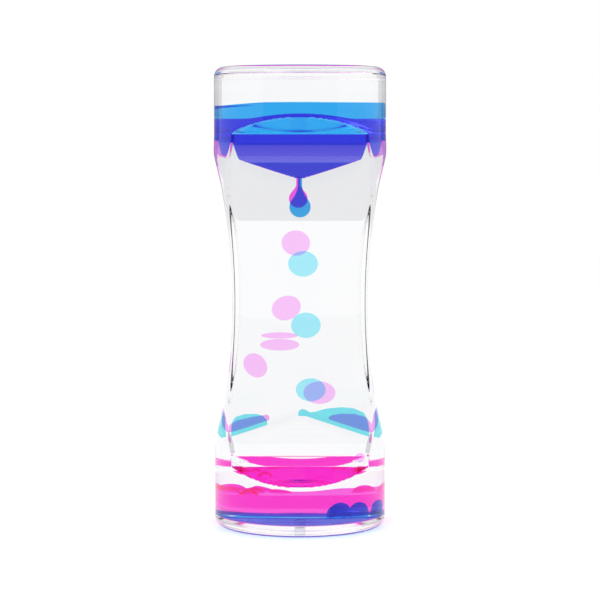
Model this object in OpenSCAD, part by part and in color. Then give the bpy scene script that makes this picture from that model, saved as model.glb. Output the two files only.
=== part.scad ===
// Liquid motion timer: an hourglass-shaped clear block with two sealed cells, one behind the other.
// Coloured liquid drips from the upper chamber of each cell, through clear liquid, to the lower one.
// Frame: origin at the centre of the base, +Z up, the front faces -Y.

/* [Body] */
// Height of the timer
body_h = 134; // [126:1:160]
// Diameter of both round ends
body_d = 50; // [48:1:56]
// Width of the waist
waist_w = 39; // [37:0.5:42]
// Depth of the waist
waist_d = 28; // [27.5:0.5:30]
// Height of the waisted stretch
waist_h = 84; // [78:1:88]
// Depth between the flat front and back above and below the waist
flat_d = 31; // [30.5:0.5:33]
// Height of each round end band at the front
round_band = 14.9; // [12:0.1:16]
// Distance from each end to the foot of the sloping facet
facet_foot = 19.4; // [18.5:0.1:21]
// Radius of the edges round both ends
edge_r = 3; // [1.5:0.5:4]
// Thickness of the side walls
wall = 2.2; // [1.8:0.1:2.4]
// Thickness of both end walls
end_wall = 3.3; // [2.6:0.1:4]
// Diameter of each filling hole
fill_d = 2; // [1.6:0.1:3]

/* [Divider] */
// Thickness of the sheet between the cells
divider_t = 1.4; // [1:0.1:2.4]
// How far the sheet reaches into the walls
rebate = 1; // [0.6:0.1:1.2]

/* [Funnels] */
// Distance from each end to the inner face of the flange
flange_drop = 22; // [20:0.5:24]
// Thickness of the flange
flange_t = 1.3; // [0.8:0.1:2]
// Wall thickness of the hopper
hopper_wall = 0.9; // [0.7:0.1:1.2]
// Width of the hopper's mouth
hopper_mouth = 41.6; // [39:0.2:43]
// Width of the hopper where its vee begins
hopper_w = 36.8; // [33:0.2:38]
// Depth of the hopper's steep sides
hopper_side_h = 5.4; // [4:0.1:6]
// Depth of the vee below the steep sides
vee_h = 5.5; // [4:0.1:6.5]
// Diameter of the dripping nozzle's bore
nozzle_d = 1.4; // [1:0.1:2]
// Length of the nozzle below the vee
nozzle_l = 0.8; // [0.4:0.1:1.2]
// Width of each corner port for the return flow
port_w = 4.2; // [3.9:0.1:4.5]
// Thickness of each port's riser
riser_t = 0.9; // [0.7:0.1:1.3]
// Gap between a riser's mouth and the end wall
riser_gap = 4; // [3:0.5:6]

/* [Liquids] */
// Level of the cyan liquid above the upper flange
cyan_upper = 11.6; // [8:0.1:13]
// Level of the pink liquid above the upper flange
pink_upper = 6.7; // [4:0.1:12]
// Depth of the cyan pool on the floor
cyan_lower = 2.4; // [2:0.1:3.6]
// Depth of the pink pool on the floor
pink_lower = 6.2; // [5:0.1:7]
// Width of a falling drop
drop_w = 8.8; // [7.6:0.1:9]
// Height of a falling drop
drop_h = 7.6; // [6.4:0.1:7.7]

/* [Hidden] */
$fn = 96;
FRONT = -1;
BACK = 1;
glue = 0.05;          // clearance of a glued joint
film = 0.1;           // clearance between a liquid and what it touches
past = 1;             // how far a cutting shape runs past what it cuts
cavity_edge_r = 1.2;
cyan_hang = [3.2, 6.5];  // radius of the hanging drop, and its middle below the nozzle
pink_hang = [2.8, 4.2];
neck_start = 0.9;     // where a hanging drop's cone starts, as a share of the drop's radius
mid = body_h / 2;

// Radius of an arc from half its chord and its height.
function arc_r(half_chord, height) = (half_chord * half_chord + height * height) / (2 * height);

side_r = arc_r(waist_h / 2, (body_d - waist_w) / 2);
face_r = arc_r(waist_h / 2, (flat_d - waist_d) / 2);
bow = (body_d - flat_d) / 2;
facet_run = (facet_foot - round_band) / bow;
facet_lean = atan2(bow, facet_foot - round_band);
corner_cut = 1.2;
corner_cut_r = arc_r(waist_h / 2 - 4, corner_cut);
flange_top = mid - flange_drop;
hopper_foot = flange_top - hopper_side_h;
vee_foot = hopper_foot - vee_h;
nozzle_tip = vee_foot - nozzle_l;
nozzle_r = nozzle_d / 2 + hopper_wall;
riser_top = mid - end_wall - riser_gap;
port_line = (body_d / 2 - wall - port_w) * sqrt(2);
vee_slope = vee_h / (hopper_w / 2 - nozzle_r);
side_slope = (hopper_mouth - hopper_w) / 2 / hopper_side_h;
cell_y = divider_t / 2 + (waist_d / 2 - wall - divider_t / 2) / 2;
roof_angle = atan(vee_slope);

// Falling drops as [x, offset in y from the middle of the cell, z above the middle of the block].
cyan_top_at = [0.9, 0, 10.3];
cyan_mid_at = [1.7, 0, -7.5];
cyan_low_at = [3.1, 0, -26.3];
pink_top_at = [-1.2, 0, 16];
pink_mid_at = [-4, 0, -3.2];
pink_low_at = [5.7, 0, -28.35];
left_r = 3.6;
left_half_h = 3.5;
split_r = 2.5;
split_reach = 3.4;    // from the split drop's middle to each half's
bridge_r = 2.1;
pink_split_at = [-5.9, divider_t / 2 + 2 * film + split_r - cell_y, -13.15];
left_margin = 3.8;    // from the left drop's side to the shell, at the waist's foot
left_out = body_d / 2 - wall - left_r - left_margin;
left_in = waist_d / 2 - wall - left_r - film - cell_y;
pink_left_at = [-sqrt(left_out * left_out - (cell_y + left_in) * (cell_y + left_in)), left_in, -20.35];
sinking_r = 1.6;
sinking_out = body_d / 2 - wall - sinking_r - 2 * film;
sinking_at = [sinking_out * cos(32), sinking_out * sin(32), -47.7];
split_half_h = 2.4;
low_half_h = 3.4;
low_r = 4.8;
cyan_left_x = -14.2;
left_puddle_r = 5.2;
left_half = 2.5;
left_top_z = -34.6;
cyan_right_x = 12.8;
pink_right_x = 13.8;
right_puddle_r = 5.4;
right_half = 3;
tail_x = 7;
tail_r = 3.6;
tail_half = 1.6;
roof_top_z = -32.6;   // top of the cyan liquid on the right of the roof

// The waste outside one rounded corner at the origin, with the stock towards minus.
module corner_waste(r) {
    difference() {
        translate([-r, -r]) square(r + past);
        translate([-r, -r]) circle(r);
    }
}

// A rectangle of half sizes hw and hh with rounded corners, centred on the origin.
module soft_rectangle(hw, hh, r) {
    difference() {
        square([2 * hw, 2 * hh], center = true);
        translate([hw, hh]) corner_waste(r);
        translate([-hw, hh]) rotate(90) corner_waste(r);
        translate([-hw, -hh]) rotate(180) corner_waste(r);
        translate([hw, -hh]) rotate(270) corner_waste(r);
    }
}

// What the waist takes off both sides, seen from the front.
module side_waste(inset) {
    for (i = [-1, 1])
        translate([i * (waist_w / 2 + side_r), 0]) circle(side_r + inset, $fn = 720);
}

// Outline of a sheet on the middle plane, pulled in by inset at the sides and end_inset at both ends.
module sheet_outline(inset, end_inset, r) {
    difference() {
        soft_rectangle(body_d / 2 - inset, mid - end_inset, r);
        side_waste(inset);
    }
}

// What the facets and the waist take off one face: X is the depth here and Y the height.
module face_waste(inset) {
    d = flat_d / 2 - inset;
    h = mid - facet_foot + inset * tan(facet_lean / 2);
    crest = bow + inset + past;
    top = h + crest * facet_run;
    far = body_d;
    polygon([[d, -h], [d, h], [d + crest, top], [far, top], [far, -top], [d + crest, -top]]);
    intersection() {
        translate([waist_d / 2 + face_r, 0]) circle(face_r + inset, $fn = 1440);
        translate([0, -h]) square([far, 2 * h]);
    }
}

module flat_outline(inset) {
    difference() {
        square([body_d + 4 * past, body_h + 2 * past], center = true);
        face_waste(inset);
        mirror([1, 0]) face_waste(inset);
    }
}

// The round block, cut in a little at its waist so the four upright corners are blunt.
module round_block(inset, end_inset, r) {
    rotate_extrude()
        intersection() {
            difference() {
                soft_rectangle(body_d / 2 - inset, mid - end_inset, r);
                translate([body_d / 2 - corner_cut + corner_cut_r, 0]) circle(corner_cut_r + inset, $fn = 1440);
            }
            translate([0, -body_h]) square([body_d, 2 * body_h]);
        }
}

// The block's form about its own centre, pulled in by inset and end_inset.
module envelope(inset, end_inset, r) {
    intersection() {
        round_block(inset, end_inset, r);
        rotate([90, 0, 0]) linear_extrude(body_d + 4 * past, center = true)
            difference() {
                square([body_d + 4 * past, body_h + 2 * past], center = true);
                side_waste(inset);
            }
        rotate([90, 0, 90]) linear_extrude(body_d + 4 * past, center = true)
            flat_outline(inset);
    }
}

// Everything beyond a plane across Y, on one side.
module beyond(side, from) {
    translate([0, side * (from + body_d), 0]) cube([3 * body_d, 2 * body_d, 3 * body_h], center = true);
}

// The hollow of one cell, pulled in by gap on every side.
module cell(side, gap) {
    intersection() {
        envelope(wall + gap, end_wall + gap, cavity_edge_r);
        beyond(side, divider_t / 2 + gap);
    }
}

module shell(side) {
    difference() {
        intersection() {
            envelope(0, 0, edge_r);
            beyond(side, glue / 2);
        }
        intersection() {
            envelope(wall, end_wall, cavity_edge_r);
            beyond(side, -past);
        }
        divider_blank(-glue);
        translate([0, side * cell_y, -mid]) cylinder(d = fill_d, h = 4 * end_wall, center = true);
    }
}

// The dividing sheet, pulled in by gap, about the block's centre.
module divider_blank(gap) {
    rotate([90, 0, 0]) linear_extrude(divider_t - 2 * gap, center = true)
        sheet_outline(wall - rebate + gap, end_wall - rebate + gap, cavity_edge_r);
}

// Corner of the hopper's section, offset outwards by o: the knee between steep side and vee.
function vee_line(o) = vee_foot - nozzle_r * vee_slope - o * norm([1, vee_slope]);
function side_line(o) = hopper_w / 2 - hopper_foot * side_slope + o * norm([1, side_slope]);
function knee_x(o) = (side_line(o) + side_slope * vee_line(o)) / (1 - side_slope * vee_slope);

// Section of the hopper seen from the front, offset outwards by o, open at top.
module hopper_section(o, top) {
    a = vee_line(o);
    x0 = nozzle_r + o;
    x1 = knee_x(o);
    x2 = side_line(o) + side_slope * top;
    polygon([[-x2, top], [-x1, a + vee_slope * x1], [-x0, a + vee_slope * x0],
        [x0, a + vee_slope * x0], [x1, a + vee_slope * x1], [x2, top]]);
}

module across_y() {
    rotate([90, 0, 0]) linear_extrude(2 * body_d, center = true) children();
}

// The plan inside both pairs of corner ports, offset outwards by o.
module port_plan(o) {
    linear_extrude(2 * body_h, center = true)
        rotate(45) square((port_line + o * sqrt(2)) * sqrt(2), center = true);
}

// Flange, hopper and risers of the upper end without their outer limits, grown by g.
module funnel_stock(side, g) {
    difference() {
        union() {
            across_y() translate([-body_d, flange_top - flange_t - g]) square([2 * body_d, flange_t + 2 * g]);
            across_y() hopper_section(g, flange_top);
            translate([0, side * cell_y, nozzle_tip - g]) cylinder(r = nozzle_r + g, h = vee_h);
            difference() {
                across_y() {
                    hopper_section(g, flange_top);
                    translate([-body_d, flange_top - flange_t]) square([2 * body_d, riser_top + g - flange_top + flange_t]);
                }
                port_plan(-riser_t - g);
            }
        }
        intersection() {
            across_y() hopper_section(-hopper_wall - g, flange_top + 2 * past);
            port_plan(-riser_t - g);
        }
        translate([0, side * cell_y, nozzle_tip - past - g]) cylinder(d = nozzle_d - 2 * g, h = vee_h);
    }
}

module funnel(side) {
    intersection() {
        cell(side, glue);
        port_plan(0);
        funnel_stock(side, 0);
    }
}

module grown_funnel(side) {
    intersection() {
        funnel_stock(side, film);
        port_plan(film);
    }
}

// A round cushion with half height hh and radius r, grown by g and stretched down by fall.
module cushion(r, hh, g = 0, fall = 0) {
    rotate_extrude()
        intersection() {
            union() {
                translate([r - hh, 0]) circle(hh + g);
                translate([0, -hh - g - fall]) square([r - hh, 2 * (hh + g) + fall]);
                if (fall > 0) {
                    translate([r - hh, -fall]) circle(hh + g);
                    translate([0, -fall]) square([r + g, fall]);
                }
            }
            translate([0, -hh - g - fall]) square([r + g, 2 * (hh + g) + fall]);
        }
}

// A drop hanging from the nozzle: a ball with a cone up to the bore, grown by g.
module hanging_drop(r, z, g) {
    rise = nozzle_tip - z + past / 2;
    neck = nozzle_d / 2 - film + g;
    lean = atan2(rise, neck) - acos((r + g) / norm([neck, rise]));
    inner = (r + g) * neck_start;
    translate([0, 0, z]) rotate_extrude()
        intersection() {
            union() {
                circle(r + g);
                polygon([[0, 0], [inner * cos(lean), inner * sin(lean)], [neck, rise], [0, rise]]);
            }
            translate([0, -r - past]) square([r + past, rise + r + past]);
        }
}

// Coloured liquid above the upper flange with its hanging drop, not yet held by the cell, grown by g.
module upper_stock(side, level, hang, g) {
    gap = film - g;
    intersection() {
        union() {
            across_y() hopper_section(-hopper_wall - gap, flange_top + gap);
            across_y() translate([-body_d, flange_top + gap]) square([2 * body_d, level + g - gap]);
        }
        port_plan(-riser_t - gap);
    }
    translate([0, side * cell_y, 0]) {
        translate([0, 0, nozzle_tip]) cylinder(d = nozzle_d - 2 * gap, h = 2);
        hanging_drop(hang.x, nozzle_tip - hang.y, g);
    }
}

module upper_pool(side, level, hang) {
    intersection() {
        upper_stock(side, level, hang, 0);
        cell(side, film);
    }
}

// Coloured liquid on the floor with the domes of drops that are sinking in, grown by g.
module lower_stock(side, depth, domes, g) {
    top = end_wall + depth - mid;
    translate([-body_d, -body_d, -body_h]) cube([2 * body_d, 2 * body_d, body_h + top + g]);
    for (d = domes)
        translate([d.x, side * d.y, top]) sphere(r = d.z + g, $fn = 48);
}

module lower_pool(side, depth, domes) {
    difference() {
        intersection() {
            lower_stock(side, depth, domes, 0);
            cell(side, film);
        }
        mirror([0, 0, 1]) riser_zone();
    }
}

// The space that the upper risers and a film round them take.
module riser_zone() {
    intersection() {
        port_plan(film);
        difference() {
            translate([-body_d, -body_d, 0]) cube([2 * body_d, 2 * body_d, riser_top + film]);
            port_plan(-riser_t - film);
        }
    }
}

// What lies above the sloping roof, with a gap of clear to it.
module above_roof(clear) {
    for (i = [-1, 1])
        translate([i * nozzle_r, 0, -vee_foot + clear / cos(roof_angle)])
            rotate([0, i * roof_angle, 0])
                translate([i > 0 ? -past : past - body_d, -body_d, 0]) cube([body_d, 2 * body_d, body_d]);
}

// Liquid as the walls of its cell hold it.
module held(side) {
    intersection() {
        cell(side, film);
        children();
    }
}

// A blob lying between the sloping roof and the side wall: its middle, radius, top and half height.
module puddle(side, x, r, top, half, g) {
    intersection() {
        translate([x, side * cell_y, top - half]) cushion(r, half, g);
        above_roof(film - g);
    }
}

module cyan_left(g) { puddle(FRONT, cyan_left_x, left_puddle_r, left_top_z, left_half, g); }
module cyan_right(g) {
    puddle(FRONT, cyan_right_x, right_puddle_r, roof_top_z, right_half, g);
    puddle(FRONT, tail_x, tail_r, roof_top_z - 2 * film, tail_half, g);
}
module pink_left(g) { puddle(BACK, cyan_left_x, left_puddle_r, left_top_z - 2, left_half, g); }
module pink_right(g) { puddle(BACK, pink_right_x, right_puddle_r, roof_top_z - 3, right_half, g); }

module drop_at(side, at) {
    translate([at.x, side * (cell_y + at.y), at.z]) children();
}

// The split drop is two flat drops joined side by side.
module split_drop(g, fall) {
    for (i = [-1, 1])
        translate([i * split_reach, 0, 0]) cushion(split_r, split_half_h, g, fall);
    cushion(bridge_r, bridge_r - film, g, fall);
}

CYAN_DOMES = [[8.3, 11, 2], [13.2, 6, 2.2], [17.6, 3.4, 2.2]];
PINK_DOMES = [[-13, 7, 2.6], [-8, 12.5, 2.2], [11.5, 8, 2.6]];

// How far each drop can sink before it meets what is below it.
upper_cyan_fall = cyan_top_at.z - cyan_mid_at.z - drop_h - 3 * film;
middle_cyan_fall = cyan_mid_at.z - cyan_low_at.z - drop_h - 3 * film;
lower_cyan_fall = cyan_low_at.z - drop_h / 2 - roof_top_z - 3 * film;
upper_pink_fall = pink_top_at.z - pink_mid_at.z - drop_h - 3 * film;
middle_pink_fall = pink_mid_at.z - pink_split_at.z - drop_h / 2 - split_half_h - 3 * film;
split_pink_fall = 12;
left_pink_fall = 6;
lower_pink_fall = pink_low_at.z - low_half_h + vee_foot - 8 * film;
sinking_fall = 6;

module front_fall(g) {
    drop_at(FRONT, cyan_top_at) cushion(drop_w / 2, drop_h / 2, g, upper_cyan_fall);
    drop_at(FRONT, cyan_mid_at) cushion(drop_w / 2, drop_h / 2, g, middle_cyan_fall);
    drop_at(FRONT, cyan_low_at) cushion(drop_w / 2, drop_h / 2, g, lower_cyan_fall);
}

module back_fall(g) {
    drop_at(BACK, pink_top_at) cushion(drop_w / 2, drop_h / 2, g, upper_pink_fall);
    drop_at(BACK, pink_mid_at) cushion(drop_w / 2, drop_h / 2, g, middle_pink_fall);
    drop_at(BACK, pink_split_at) split_drop(g, split_pink_fall);
    drop_at(BACK, pink_left_at) cushion(left_r, left_half_h, g, left_pink_fall);
    drop_at(BACK, pink_low_at) cushion(low_r, low_half_h, g, lower_pink_fall);
    sinking_drop(g, sinking_fall);
}

module sinking_drop(g, fall) {
    translate(sinking_at) cushion(sinking_r, 1.4, g, fall);
}

module clear_liquid(side) {
    difference() {
        cell(side, film);
        grown_funnel(side);
        mirror([0, 0, 1]) grown_funnel(side);
        if (side == FRONT) {
            upper_stock(FRONT, cyan_upper, cyan_hang, film);
            lower_stock(FRONT, cyan_lower, CYAN_DOMES, film);
            cyan_left(film);
            cyan_right(film);
            front_fall(film);
        } else {
            upper_stock(BACK, pink_upper, pink_hang, film);
            lower_stock(BACK, pink_lower, PINK_DOMES, film);
            pink_left(film);
            pink_right(film);
            back_fall(film);
        }
    }
}

module fill_plug(side) {
    translate([0, side * cell_y, glue]) cylinder(d = fill_d - 2 * glue, h = end_wall - 2 * glue);
}

module centred() { translate([0, 0, mid]) children(); }

CLEAR = [0.85, 0.92, 0.95, 0.35];
CYAN = [0.1, 0.75, 0.95, 0.8];
PINK = [1, 0.25, 0.8, 0.8];
WATER = [0.9, 0.95, 1, 0.15];

module front_shell() { color(CLEAR) centred() shell(FRONT); }
module back_shell() { color(CLEAR) centred() shell(BACK); }
module divider_sheet() { color(CLEAR) centred() divider_blank(0); }
module front_upper_funnel() { color(CLEAR) centred() funnel(FRONT); }
module front_lower_funnel() { color(CLEAR) centred() mirror([0, 0, 1]) funnel(FRONT); }
module back_upper_funnel() { color(CLEAR) centred() funnel(BACK); }
module back_lower_funnel() { color(CLEAR) centred() mirror([0, 0, 1]) funnel(BACK); }
module front_fill_plug() { color(CLEAR) fill_plug(FRONT); }
module back_fill_plug() { color(CLEAR) fill_plug(BACK); }
module cyan_upper_pool() { color(CYAN) centred() upper_pool(FRONT, cyan_upper, cyan_hang); }
module cyan_lower_pool() { color(CYAN) centred() lower_pool(FRONT, cyan_lower, CYAN_DOMES); }
module cyan_roof_puddle_left() { color(CYAN) centred() held(FRONT) cyan_left(0); }
module cyan_roof_puddle_right() { color(CYAN) centred() held(FRONT) cyan_right(0); }
module cyan_drop_upper() { color(CYAN) centred() drop_at(FRONT, cyan_top_at) cushion(drop_w / 2, drop_h / 2); }
module cyan_drop_middle() { color(CYAN) centred() drop_at(FRONT, cyan_mid_at) cushion(drop_w / 2, drop_h / 2); }
module cyan_drop_lower() { color(CYAN) centred() drop_at(FRONT, cyan_low_at) cushion(drop_w / 2, drop_h / 2); }
module pink_upper_pool() { color(PINK) centred() upper_pool(BACK, pink_upper, pink_hang); }
module pink_lower_pool() { color(PINK) centred() lower_pool(BACK, pink_lower, PINK_DOMES); }
module pink_roof_puddle_left() { color(PINK) centred() held(BACK) pink_left(0); }
module pink_roof_puddle_right() { color(PINK) centred() held(BACK) pink_right(0); }
module pink_drop_upper() { color(PINK) centred() drop_at(BACK, pink_top_at) cushion(drop_w / 2, drop_h / 2); }
module pink_drop_middle() { color(PINK) centred() drop_at(BACK, pink_mid_at) cushion(drop_w / 2, drop_h / 2); }
module pink_drop_split() { color(PINK) centred() drop_at(BACK, pink_split_at) split_drop(0, 0); }
module pink_drop_left() { color(PINK) centred() drop_at(BACK, pink_left_at) cushion(left_r, left_half_h); }
module pink_drop_lower() { color(PINK) centred() drop_at(BACK, pink_low_at) cushion(low_r, low_half_h); }
module pink_drop_sinking() { color(PINK) centred() sinking_drop(0, 0); }
module front_clear_liquid() { color(WATER) centred() clear_liquid(FRONT); }
module back_clear_liquid() { color(WATER) centred() clear_liquid(BACK); }

front_shell();
back_shell();
divider_sheet();
front_upper_funnel();
front_lower_funnel();
back_upper_funnel();
back_lower_funnel();
front_fill_plug();
back_fill_plug();
cyan_upper_pool();
cyan_lower_pool();
cyan_roof_puddle_left();
cyan_roof_puddle_right();
cyan_drop_upper();
cyan_drop_middle();
cyan_drop_lower();
pink_upper_pool();
pink_lower_pool();
pink_roof_puddle_left();
pink_roof_puddle_right();
pink_drop_upper();
pink_drop_middle();
pink_drop_split();
pink_drop_left();
pink_drop_lower();
pink_drop_sinking();
front_clear_liquid();
back_clear_liquid();
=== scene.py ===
"""Registers an add-on panel whose operators each build one piece or one group of like pieces.
Lengths are in metres in the frame's own coordinates: z up from the base, the front faces -Y.
"""

import math

import bmesh
import bpy
import numpy as np
from bpy.props import FloatProperty, FloatVectorProperty, IntProperty, PointerProperty
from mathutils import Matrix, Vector


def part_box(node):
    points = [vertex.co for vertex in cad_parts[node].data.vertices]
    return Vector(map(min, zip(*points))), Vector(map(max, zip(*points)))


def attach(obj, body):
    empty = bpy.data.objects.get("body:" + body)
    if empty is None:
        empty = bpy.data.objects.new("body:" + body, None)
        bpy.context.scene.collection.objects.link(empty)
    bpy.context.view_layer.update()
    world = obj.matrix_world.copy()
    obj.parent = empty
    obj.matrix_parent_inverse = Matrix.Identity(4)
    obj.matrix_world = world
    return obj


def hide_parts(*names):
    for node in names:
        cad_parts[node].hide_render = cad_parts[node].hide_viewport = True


bl_info = {
    "name": "Liquid Motion Timer",
    "version": (1, 0, 0),
    "blender": (4, 5, 0),
    "location": "3D View > Sidebar > Timer",
    "description": "Builds the looks of a liquid motion timer round its packed frame",
    "category": "Object",
}

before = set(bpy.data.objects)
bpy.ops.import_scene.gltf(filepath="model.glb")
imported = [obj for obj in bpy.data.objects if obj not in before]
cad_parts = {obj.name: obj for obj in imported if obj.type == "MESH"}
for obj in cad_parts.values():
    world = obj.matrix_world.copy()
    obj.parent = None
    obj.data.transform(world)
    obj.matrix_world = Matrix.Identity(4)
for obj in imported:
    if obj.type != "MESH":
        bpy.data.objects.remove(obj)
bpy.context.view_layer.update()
FRONT, BACK = -1, 1
ROOT = "timer"


# Sizes


class TimerBlockSettings(bpy.types.PropertyGroup):
    height: FloatProperty(name="Height", description="Height of the block", default=0.134, unit="LENGTH")
    end_d: FloatProperty(
        name="End diameter", description="Diameter of both round ends", default=0.05, unit="LENGTH"
    )
    waist_w: FloatProperty(name="Waist width", description="Width of the waist", default=0.039, unit="LENGTH")
    waist_d: FloatProperty(name="Waist depth", description="Depth of the waist", default=0.028, unit="LENGTH")
    waist_h: FloatProperty(
        name="Waist height", description="Height of the waisted stretch", default=0.084, unit="LENGTH"
    )
    flat_d: FloatProperty(
        name="Flat depth", description="Depth between the flats", default=0.031, unit="LENGTH"
    )
    band: FloatProperty(
        name="Round band", description="Height of each round end band", default=0.0149, unit="LENGTH"
    )
    foot: FloatProperty(
        name="Facet foot", description="From each end to the facet's foot", default=0.0194, unit="LENGTH"
    )
    edge: FloatProperty(
        name="End edge", description="Radius of the edges round both ends", default=0.003, unit="LENGTH"
    )
    wall: FloatProperty(name="Wall", description="Thickness of the side walls", default=0.0022, unit="LENGTH")
    end_wall: FloatProperty(
        name="End wall", description="Thickness of the end walls", default=0.0033, unit="LENGTH"
    )
    corner_out: FloatProperty(
        name="Corner", description="How far the waist's corners stand out of the round ends",
        default=0.0012, unit="LENGTH"
    )
    around: IntProperty(name="Segments", description="Points round the block", default=360, min=48)
    ior: FloatProperty(name="Index", description="Refractive index of the block", default=1.45)


class TimerLiquidSettings(bpy.types.PropertyGroup):
    cyan: FloatVectorProperty(
        name="Cyan", description="What a cyan pool lets through", default=(0.028, 0.42, 0.9), subtype="COLOR"
    )
    pink: FloatVectorProperty(
        name="Pink", description="What a pink pool lets through", default=(1.0, 0.015, 0.6), subtype="COLOR"
    )
    pale_cyan: FloatVectorProperty(
        name="Pale cyan", description="What a cyan drop lets through",
        default=(0.38, 0.86, 0.97), subtype="COLOR"
    )
    pale_pink: FloatVectorProperty(
        name="Pale pink", description="What a pink drop lets through",
        default=(0.98, 0.56, 0.97), subtype="COLOR"
    )
    upper_pink: FloatVectorProperty(
        name="Upper pink", description="What the pink upper pool lets through",
        default=(0.98, 0.09, 0.84), subtype="COLOR"
    )
    puddle_cyan: FloatVectorProperty(
        name="Puddle cyan", description="What a cyan puddle lets through",
        default=(0.2, 0.78, 0.86), subtype="COLOR"
    )
    puddle_pink: FloatVectorProperty(
        name="Puddle pink", description="What a pink puddle lets through",
        default=(0.9, 0.4, 0.9), subtype="COLOR"
    )
    cyan_upper: FloatProperty(
        name="Cyan level", description="Cyan level above the upper flange", default=0.0116, unit="LENGTH"
    )
    pink_upper: FloatProperty(
        name="Pink level", description="Pink level above the upper flange", default=0.007, unit="LENGTH"
    )
    cyan_lower: FloatProperty(
        name="Cyan depth", description="Depth of the cyan pool", default=0.0024, unit="LENGTH"
    )
    pink_lower: FloatProperty(
        name="Pink depth", description="Depth of the pink pool", default=0.0062, unit="LENGTH"
    )
    meniscus: FloatProperty(
        name="Meniscus", description="How far a surface rounds over at the walls",
        default=0.0009, unit="LENGTH"
    )
    wobble: FloatProperty(name="Wobble", description="How uneven a falling drop is", default=0.05)


class TimerStageSettings(bpy.types.PropertyGroup):
    distance: FloatProperty(
        name="Distance", description="From the camera to the front", default=0.645, unit="LENGTH"
    )
    eye: FloatProperty(name="Eye height", description="Height of the camera", default=0.1145, unit="LENGTH")
    aim: FloatProperty(
        name="Aim height", description="Height the camera looks at", default=0.0662, unit="LENGTH"
    )
    band_y: FloatProperty(
        name="Band depth", description="Place of the grey band behind the block", default=0.1, unit="LENGTH"
    )
    band_low: FloatProperty(
        name="Band foot", description="Lower edge of the grey band", default=0.0889, unit="LENGTH"
    )
    band_high: FloatProperty(
        name="Band top", description="Upper edge of the grey band", default=0.1116, unit="LENGTH"
    )
    lens: FloatProperty(name="Lens", description="Focal length in millimetres", default=138.0)


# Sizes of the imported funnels, divider and ports, with heights from the block's middle.
HOPPER_TOP = 0.0452  # where liquid opens out, just above the flange
HOPPER_FOOT = 0.0396
VEE_FOOT = 0.0341
VEE_HEIGHT = 0.0055
NOZZLE_TIP = 0.0333
HOPPER_HALF_W = 0.0184
VEE_FLAT = 0.0016  # half width of the flat round the bore
VEE_SLOPE = VEE_HEIGHT / (HOPPER_HALF_W - VEE_FLAT)
HOPPER_SIDE_H = 0.0054
HOPPER_FLARE = 0.0024  # how far each steep side leans out at its top
STEEP_SLOPE = HOPPER_FLARE / HOPPER_SIDE_H
HOPPER_WALL = 0.0009
FILM = 0.0001  # between a liquid and what holds it
DIVIDER_SIDE = 0.0008  # from the middle plane to a liquid beside the divider
PORT_W = 0.0042
RISER_ACROSS = 0.0014  # a port's riser and the film beside it, measured along X
HOLLOW_EDGE = 0.0012  # radius of the edges round both ends of the hollow

# Heights from each end between which the block's rings lie close, for the facets' edges.
FACET_RINGS = (0.0125, 0.0225)
# Heights from each end between which the block's corners go from crisp to soft.
CRISP_TO, SOFT_FROM = 0.0205, 0.034
SOFT_CORNER = 22
# How far past the waisted stretch its corners start to stand out, and over what height.
CORNER_PAST, CORNER_OVER = 0.0055, 0.0095

LEAST_GAP = 2e-5
TINY = 1e-6


# Form of the block


def arc_radius(half_chord, height):
    return (half_chord**2 + height**2) / (2 * height)


def outline_limits(p, z, inset, end_inset, edge):
    """Radius, half width and half depth of the block at the heights z, pulled in by inset."""
    mid = p.height / 2
    h = np.abs(z - mid)
    side_r = arc_radius(p.waist_h / 2, (p.end_d - p.waist_w) / 2)
    face_r = arc_radius(p.waist_h / 2, (p.flat_d - p.waist_d) / 2)
    bow = (p.end_d - p.flat_d) / 2
    lean = math.atan2(bow, p.foot - p.band)
    foot = mid - p.foot + inset * math.tan(lean / 2)
    flat = p.flat_d / 2 - inset
    half_w = np.minimum(p.waist_w / 2 + side_r - np.sqrt((side_r + inset) ** 2 - h**2), p.end_d / 2 - inset)
    arc = p.waist_d / 2 + face_r - np.sqrt((face_r + inset) ** 2 - h**2)
    half_d = np.where(h > foot, flat + (h - foot) * bow / (p.foot - p.band), np.minimum(flat, arc))
    square = np.clip((p.waist_h / 2 + CORNER_PAST - h) / CORNER_OVER, 0, 1)
    radius = p.end_d / 2 - inset + p.corner_out * square * square * (3 - 2 * square)
    near = np.clip(edge - (mid - end_inset - h), 0, edge)
    trim = edge - np.sqrt(np.maximum(edge**2 - near**2, 0))
    return radius - trim, half_w - trim, half_d - trim


def ring_radii(theta, centre, limits, planes=(), sharp=48):
    """Distance from centre to the outline in each direction, its corners a little soft."""
    radius, half_w, half_d = limits
    ux, uy = np.cos(theta), np.sin(theta)
    cx, cy = centre
    along = cx * ux + cy * uy
    reach = [-along + np.sqrt(np.maximum(along**2 - cx**2 - cy**2 + radius**2, TINY**2))]
    sides = [(1, 0, half_w), (-1, 0, half_w), (0, 1, half_d), (0, -1, half_d), *planes]
    for nx, ny, d in sides:
        facing = nx * ux + ny * uy
        gap = max(d - nx * cx - ny * cy, LEAST_GAP)
        reach.append(np.where(facing > TINY, gap / np.maximum(facing, TINY), 1.0))
    nearest = np.min(reach, axis=0)
    return nearest * np.sum([(nearest / r) ** sharp for r in reach], axis=0) ** (-1.0 / sharp)


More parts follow.
